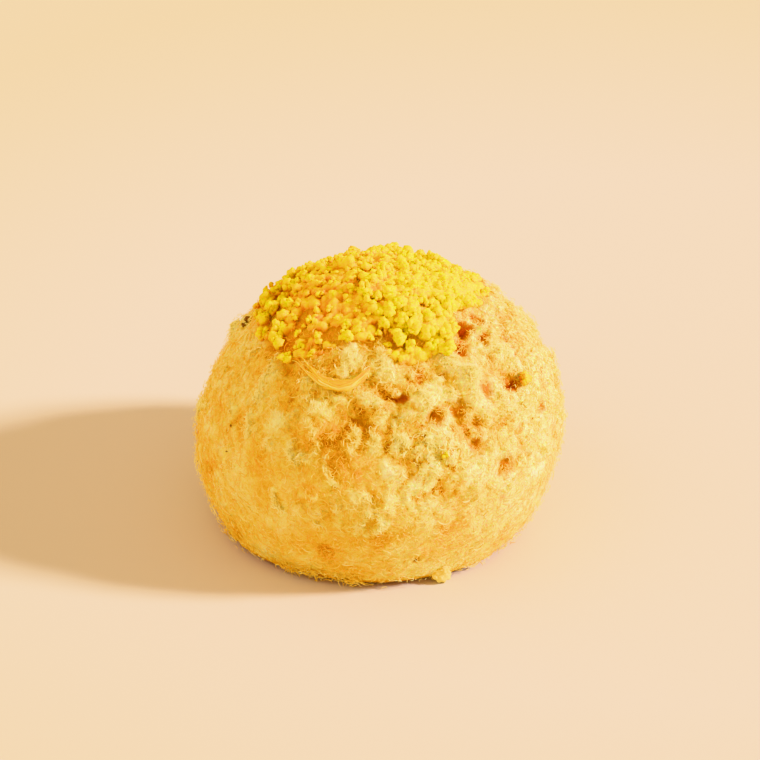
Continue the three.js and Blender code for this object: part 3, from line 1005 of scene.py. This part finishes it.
def height_over_coat(points):
    q = points.copy()
    q[:, 0] -= LEAN * (q[:, 2] - WAIST_HEIGHT)
    q -= MIDDLE
    reach = np.linalg.norm(q, axis=1)
    return reach - coat_reach(q / reach[:, None], fine=False)


def filled(p):
    """Whether the crumbs leave no gap at points. There are fewer gaps toward +X and higher up."""
    few = p[:, 0] + 0.7 * p[:, 1] + (p[:, 2] - 50)
    return noise(p / GAPS["spacing"] + GAPS["start"]) > GAPS["share"] - few / GAPS["fewer_toward"]


def bridges(rng, base, outward):
    """Small crumbs between neighbours, but for the gaps."""
    apart = np.linalg.norm(base[:, None] - base[None], axis=2)
    pairs = np.argwhere(np.triu(apart < BRIDGE_REACH, 1))
    a, b = base[pairs[:, 0]], base[pairs[:, 1]]
    kept = filled((a + b) / 2)
    a, b, out = a[kept], b[kept], outward[pairs[kept, 0]]
    share = rng.uniform(0.25, 0.75, (len(a), 1))
    centres = a + (b - a) * share + rng.normal(0, 0.35, a.shape) + 0.15 * out
    return centres, rng.uniform(*BRIDGE_RADIUS, len(a))


def ring_start(ring):
    """The number of points inside a ring of the disc."""
    return 1 + 3 * ring * (ring - 1) if ring else 0


def disc_faces(rings):
    """Triangles of a disc with one point in its middle and 6 more on each ring than on the last."""
    faces = []
    for ring in range(1, rings + 1):
        inner, count = max(1, 6 * (ring - 1)), 6 * ring
        for side in range(6):
            for i in range(ring):
                a = ring_start(ring) + side * ring + i
                b = ring_start(ring) + (side * ring + i + 1) % count
                c = ring_start(ring - 1) + (side * (ring - 1) + i) % inner
                faces.append((a, b, c))
                if i < ring - 1:
                    d = ring_start(ring - 1) + (side * (ring - 1) + i + 1) % inner
                    faces.append((c, b, d))
    return np.array(faces)


def crumb_bed():
    """The bed's points and faces, closed below by a cone to a point inside the bun."""
    rings = np.arange(1, BED_RINGS + 1)
    share = np.concatenate([[0.0], np.repeat(rings / BED_RINGS, 6 * rings)])
    azimuth = [np.arange(6 * ring) * 2 * math.pi / (6 * ring) for ring in rings]
    p = patch_points(np.concatenate([[0.0], *azimuth]), share)
    i = np.arange(BED_GRAINS)
    grain_azimuth = i * GOLDEN_ANGLE + 0.06 * scramble(i, 21, 22)
    grains = patch_points(grain_azimuth, 0.98 * np.sqrt((i + 0.5) / BED_GRAINS))
    radius = between(BED_GRAIN_RADIUS, scramble(i, 22, 23))
    sink = between(BED_SINK, scramble(i, 23, 24))
    kept = filled(grains)
    lift = np.full(len(p), BED_BELOW)
    warp = p + 0.35 * np.column_stack([noise(p / 0.9 + start) for start in (3.3, 9.1, 5.7)])
    for grain_at, r, low in zip(grains[kept], radius[kept], sink[kept]):
        close = np.flatnonzero(np.abs(p[:, 0] - grain_at[0]) < 2 * r)
        dome = 1 - (apart(warp[close], grain_at) / r) ** 2
        high = np.where(dome > 0, low + r * np.sqrt(np.maximum(0, dome)), BED_BELOW)
        lift[close] = np.maximum(lift[close], high)
    lift = np.where(share > 0.995, BED_BELOW, lift)
    points = coat_at(unit(p - MIDDLE), lift, fine=False)
    faces = disc_faces(BED_RINGS)
    rim = np.arange(6 * BED_RINGS) + len(p) - 6 * BED_RINGS
    under = np.column_stack([np.roll(rim, -1), rim, np.full(len(rim), len(p))])
    return np.concatenate([points, [MIDDLE + (0, 0, BED_FLOOR)]]), np.concatenate([faces, under])


def yolk_crumbs(material):
    """The crumbs as clusters of knobs, a few in one smooth piece, with small ones between, on their bed."""
    rng = np.random.default_rng(71)
    ray, radius, large = crumb_places()
    lift = CRUMB_LIFT * radius
    lift[CRUMB_COUNT:] += STRAY_LIFT
    base = coat_at(ray, lift, fine=False)
    outward = outward_at(ray)
    centres, radii = [], []
    for i in range(len(base)):
        for k in range(KNOBS[int(large[i])]):
            aside = unit(rng.normal(size=3))
            aside += outward[i] * (max(0.0, -2 * aside @ outward[i]) + 0.3)
            centres.append(base[i] + aside * radius[i] * rng.uniform(0.3, 0.8) * min(k, 1))
            radii.append(radius[i] * rng.uniform(*KNOB_RADIUS) * (1 if k else 1.2))
    more, more_radii = bridges(rng, base[:CRUMB_COUNT], outward[:CRUMB_COUNT])
    centres, radii = np.concatenate([centres, more]), np.concatenate([radii, more_radii])
    small = knobs(rng, centres, radii, KNOB_SPLIT)
    chosen = np.flatnonzero(large)[:: max(1, large.sum() // BIG_KNOBS)]
    big_centres = base[chosen] + outward[chosen] * 0.4
    big = knobs(rng, big_centres, radius[chosen] * 0.8, 2 * KNOB_SPLIT)
    outer = np.concatenate([facing(small[0], centres), facing(big[0], big_centres)])
    points, faces = join(small, big, crumb_bed())
    # Painted shade: crumbs and bed are oranger the lower they sit over the coat; painted light makes the
    # outer side of each knob and the lit side paler.
    tone = smoothstep((height_over_coat(points) + 0.2) / 1.8)
    tone[: len(outer)] += CRUMB_TONE["outer"] * (outer - CRUMB_TONE["level"])
    lit = smoothstep((points[:, 0] - CRUMB_TONE["from"]) / CRUMB_TONE["over"])
    tone += CRUMB_TONE["lit"] * lit + CRUMB_TONE["all"]
    for stray, change in zip(base[CRUMB_COUNT:], STRAY_TONES):
        tone += change * (apart(points, stray) < 3)
    mesh_piece("yolk_crumbs", points, faces, material, {"tone": tone})


yolk_crumbs(crumb_material())

# ---- the long shred

SHRED_STRANDS = 26
SHRED_STEPS = 24
# azimuth and height along it
SHRED_PATH = [
    (-141, 46), (-134, 46.9), (-127, 46.1), (-118, 44.9),
    (-110, 44.8), (-105, 45.3), (-100, 47), (-98, 48),
]


def long_shred(material):
    """A peel of floss whose strands run together at its thick end and part at its thin end."""
    rng = np.random.default_rng(81)
    centres, radii = [], []
    at = np.linspace(0, 1, len(SHRED_PATH))
    for i in range(SHRED_STRANDS):
        begin = 0.0 if i < 5 else rng.uniform(0.25, 0.45)
        t = np.linspace(begin, 1 - (0 if i < 16 else rng.uniform(0.0, 0.12)), SHRED_STEPS)
        azimuth, height = along(SHRED_PATH, t)
        thickness = np.maximum(0, np.sin(math.pi * t**2.0)) ** 0.7
        across = (i % 9 - 4) / 4
        height += 0.5 * across * thickness + (0.9 if i % 2 else -0.3) * (1 - t) * np.sin(math.pi * t)
        height += 0.22 * np.interp(t, at, rng.normal(size=len(at)))
        arch = 0.55 * (1 - across * across) * thickness
        lift = 0.7 + 0.6 * SHRED_LIFT * t + arch + rng.uniform(-0.1, 0.15)
        centres.append(coat_at(toward(azimuth, height), lift, fine=False))
        radii.append(rng.uniform(0.8, 1.2) * (0.10 + 0.13 * thickness))
    tone = rng.normal(0.33, 0.2, (SHRED_STRANDS, 1))
    add_fibres("long_shred", np.array(centres), np.array(radii)[:, 1:-1], tone, material, sides=6)


long_shred(tone_material("shred_floss", SHRED_STOPS, 0.3, 0.3, 0.1, 0.5))

# ---- flecks, and what dropped at the foot

# azimuth, height, radius
FLECKS = [(171, 43.4, 0.95), (173, 42.6, 0.65), (-76, 8.3, 0.3), (-150, 31.0, 0.25), (-146, 26.5, 0.2)]
SMALL_FLECKS = 14
FLECK_LIFT = 0.5
LUMP_KNOBS = 14
WISPS = 260
WISP_AZIMUTHS = [-121, -112, -104, -97]
WISP = {
    "steps": 6, "even": True,
    "curl": (0.7, 2.4), "turn": (1.2, 2.8), "tilt": (-1.2, 0.8), "lift": (0.0, 1.0), "fibre": (0.05, 0.1),
}


def dark_flecks(material):
    """Flecks that the photo shows, and tiny ones at random."""
    rng = np.random.default_rng(91)
    small = random_rays(rng, SMALL_FLECKS, lambda ray: 1.0)
    small_radius = rng.uniform(0.1, 0.22, SMALL_FLECKS)
    azimuths, heights, sizes = np.array(FLECKS).T
    ray = np.concatenate([small, toward(azimuths, heights)])
    radius = np.concatenate([small_radius, sizes])
    points, faces = knobs(rng, coat_at(ray, FLECK_LIFT), radius, KNOB_SPLIT)
    mesh_piece("dark_flecks", points, faces, material)


def dropped_lump(material):
    rng = np.random.default_rng(95)
    a = math.radians(DROPPED_LUMP["azimuth"])
    r, out = DROPPED_LUMP["radius"], DROPPED_LUMP["out"]
    middle = leaned(np.array([out * math.cos(a), out * math.sin(a), r]))
    centres = middle + rng.normal(0, 0.3 * r, (LUMP_KNOBS, 3))
    points, faces = knobs(rng, centres, rng.uniform(0.4, 0.65, LUMP_KNOBS) * r, 4)
    mesh_piece("dropped_lump", points, faces, material, {"tone": np.full(len(points), 0.75)})


def wisps(material):
    """Frayed curls at the foot, in bunches where the photo shows them, and here and there elsewhere."""
    rng = np.random.default_rng(97)
    shown = WISPS * 3 // 5
    bunch = rng.choice(WISP_AZIMUTHS, shown) + rng.normal(0, 1.5, shown)
    azimuth = np.concatenate([bunch, rng.choice(np.arange(-85, 235, 17), WISPS - shown)])
    azimuth = azimuth + rng.normal(0, 1.0, WISPS)
    height = rng.uniform(1.0, 3.6, WISPS)
    centres, _ = curled(rng, WISP, toward(azimuth, height))
    centres += rng.normal(0, 0.08, centres.shape)
    tone = rng.normal(0.5, 0.2, (WISPS, 1))
    radius = rng.uniform(*WISP["fibre"], WISPS)
    add_fibres("foot_wisps", centres, taper(radius, WISP["steps"]), tone, material)


dark_flecks(fleck_material())
dropped_lump(fibre)
wisps(fibre)

# ---- floor, light and camera

CAMERA_ELEVATION = 30.25
CAMERA_DISTANCE = 0.884
CAMERA_TARGET = Vector((0.0003, 0.0, 0.0316))
CAMERA_LENS = 191.5
SENSOR_WIDTH = 36.0
CLIP_START = 0.01
# The azimuth is the one that the light goes toward. Its elevation and size are in degrees too.
KEY = {"azimuth": 175.4, "elevation": 28.4, "size": 9.0, "colour": (0.845, 0.914, 1.0), "strength": 5.1}
BOUNCE = {"azimuth": 25.0, "elevation": 16.0, "size": 100.0, "colour": (1.0, 0.97, 0.85), "strength": 1.3}
FILL_COLOUR = (1.0, 0.72, 0.433)
FILL_STRENGTH = 0.83
# Painted light on the table: paler near this middle, darker and yellower away from it.
LIGHT_POOL_MIDDLE = (0.06, 0.04, 0.0)
FLOOR_STOPS = [(0.12, (0.75, 0.66, 0.55)), (0.24, (0.7, 0.6, 0.42))]  # by the distance from its middle
TONES = "Khronos PBR Neutral"
FLOOR_HALF = 4.0


def floor():
    """A plain pale table that is a little darker and yellower away from the bun, as a painted pool of
    light.
    """
    material, tree, shader = new_material("pale_floor")
    where = tree.nodes.new("ShaderNodeTexCoord")
    away = tree.nodes.new("ShaderNodeVectorMath")
    away.operation = "DISTANCE"
    away.inputs[1].default_value = LIGHT_POOL_MIDDLE
    tree.links.new(where.outputs["Object"], away.inputs[0])
    tone = total(tree, grain(tree, 160.0, 0.01, 2.0), away.outputs["Value"])
    tree.links.new(ramp(tree, tone, FLOOR_STOPS), shader.inputs["Base Color"])
    set_up(shader, 0.9, 0.1)
    mesh = bpy.data.meshes.new("floor")
    corners = [(x * FLOOR_HALF, y * FLOOR_HALF, 0) for x, y in ((-1, -1), (1, -1), (1, 1), (-1, 1))]
    mesh.from_pydata(corners, [], [(0, 1, 2, 3)])
    mesh.materials.append(material)
    new_object("floor", mesh)


def spherical(azimuth, elevation):
    a, e = math.radians(azimuth), math.radians(elevation)
    return Vector((math.cos(a) * math.cos(e), math.sin(a) * math.cos(e), math.sin(e)))


def aimed(name, data, away, distance, target):
    """A light or camera that looks at its target from a direction."""
    thing = new_object(name, data)
    thing.location = target + away * distance
    thing.rotation_euler = (-away).to_track_quat("-Z", "Y").to_euler()
    return thing


def far_light(name, azimuth, elevation, size, colour, strength):
    """Light from far away that goes toward an azimuth and comes down at an elevation."""
    light = bpy.data.lights.new(name, "SUN")
    light.energy = strength
    light.color = colour
    light.angle = math.radians(size)
    aimed(name, light, spherical(azimuth + 180, elevation), 1.0, Vector((0, 0, 0)))


floor()
far_light("key", **KEY)
far_light("bounce", **BOUNCE)

world = bpy.data.worlds.new("fill")
world.use_nodes = True
fill(world.node_tree.nodes["Background"], {"Color": (*FILL_COLOUR, 1.0), "Strength": FILL_STRENGTH})
bpy.context.scene.world = world

lens = bpy.data.cameras.new("camera")
lens.lens = CAMERA_LENS
lens.sensor_width = SENSOR_WIDTH
lens.clip_start = CLIP_START
camera = aimed("camera", lens, spherical(-90, CAMERA_ELEVATION), CAMERA_DISTANCE, CAMERA_TARGET)
bpy.context.scene.camera = camera
bpy.context.scene.view_settings.view_transform = TONES
